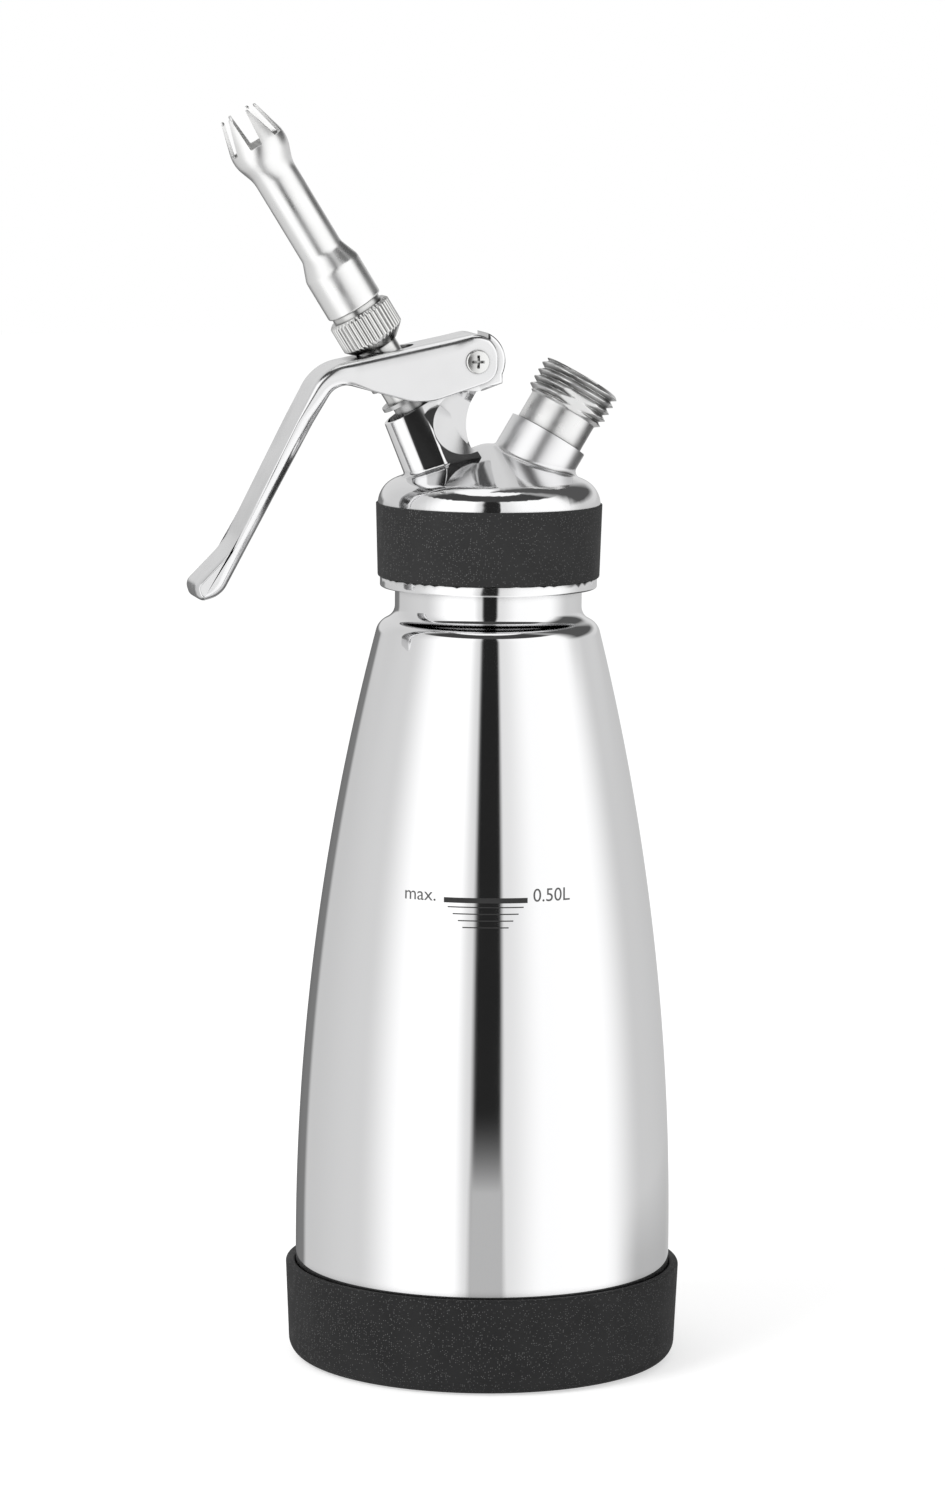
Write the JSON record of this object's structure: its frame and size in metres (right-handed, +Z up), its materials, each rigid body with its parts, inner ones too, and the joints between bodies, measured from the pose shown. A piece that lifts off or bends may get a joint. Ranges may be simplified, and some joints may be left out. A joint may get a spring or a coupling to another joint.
{
  "type": "whipping siphon",
  "caption": "Steel bottle on a silicone boot with a screw-on head whose lever opens a sprung valve under a tulip tip; a threaded inlet takes a gas charger holder.",
  "frame": {"origin": "centre of the boot's flat underside, on the flask's axis", "axes": "+Z up the flask's axis; the lever, valve and nozzle lean to -X in the plane Y = 0; the gas inlet leans to +X"},
  "size_m": [0.1156, 0.0912, 0.2888],
  "materials": {
    "polished_steel": "mirror polished",
    "satin_steel": "turned, satin",
    "spring_steel": "drawn wire",
    "black_silicone": "matte, moulded",
    "seal_rubber": "matte"
  },
  "bodies": {
    "flask": {"flask": "polished_steel", "base_boot": "black_silicone"},
    "head_gasket": {"head_gasket": "seal_rubber"},
    "head": {"head_body": "polished_steel", "collar_grip": "black_silicone", "inlet_fitting": "satin_steel", "fitting_seal": "seal_rubber", "piercing_pin": "satin_steel", "charger_seal": "seal_rubber", "check_valve": "seal_rubber", "valve_spring": "spring_steel"},
    "lever": {"lever": "polished_steel", "pivot_barrel": "polished_steel", "pivot_screw": "polished_steel"},
    "dispensing_valve": {"valve_stem": "satin_steel", "valve_seal": "seal_rubber", "stem_o_ring_upper": "seal_rubber", "stem_o_ring_lower": "seal_rubber", "spring_washer": "satin_steel", "retaining_clip": "satin_steel", "spring_cup": "satin_steel", "tip_adaptor": "satin_steel"},
    "tip_seal": {"tip_seal": "seal_rubber"},
    "nozzle": {"nozzle": "satin_steel"}
  },
  "joints": [
    {"name": "head_lift", "type": "slide", "parent": "flask", "child": "head_gasket", "axis": [0, 0, 1], "range_m": [0, 0.006]},
    {"name": "head_screw", "type": "hinge", "parent": "head_gasket", "child": "head", "pos_m": [0, 0, 0.185], "axis": [0, 0, 1], "range_deg": [0, 720]},
    {"name": "lever_squeeze", "type": "hinge", "parent": "head", "child": "lever", "pos_m": [-0.00474, 0, 0.23094], "axis": [0, -1, 0], "range_deg": [0, 6.5], "stiffness_Nm_per_rad": 0.42, "springref_deg": -16.04},
    {"name": "valve_press", "type": "slide", "parent": "head", "child": "dispensing_valve", "axis": [0.5299, 0, -0.848], "range_m": [0, 0.0022], "stiffness_N_per_m": 150, "springref_m": -0.004, "deforming": ["valve_spring"]},
    {"name": "tip_lift", "type": "slide", "parent": "dispensing_valve", "child": "tip_seal", "axis": [-0.5299, 0, 0.848], "range_m": [0, 0.0021]},
    {"name": "nozzle_screw", "type": "hinge", "parent": "tip_seal", "child": "nozzle", "pos_m": [-0.03744, 0, 0.25237], "axis": [-0.5299, 0, 0.848], "range_deg": [0, 720]}
  ],
  "couplings": [
    {"joint": "head_lift", "follows": "head_screw", "m_per_rad": 0.00047746},
    {"joint": "valve_press", "follows": "lever_squeeze", "m_per_rad": 0.0188},
    {"joint": "tip_lift", "follows": "nozzle_screw", "m_per_rad": 0.00015915}
  ]
}
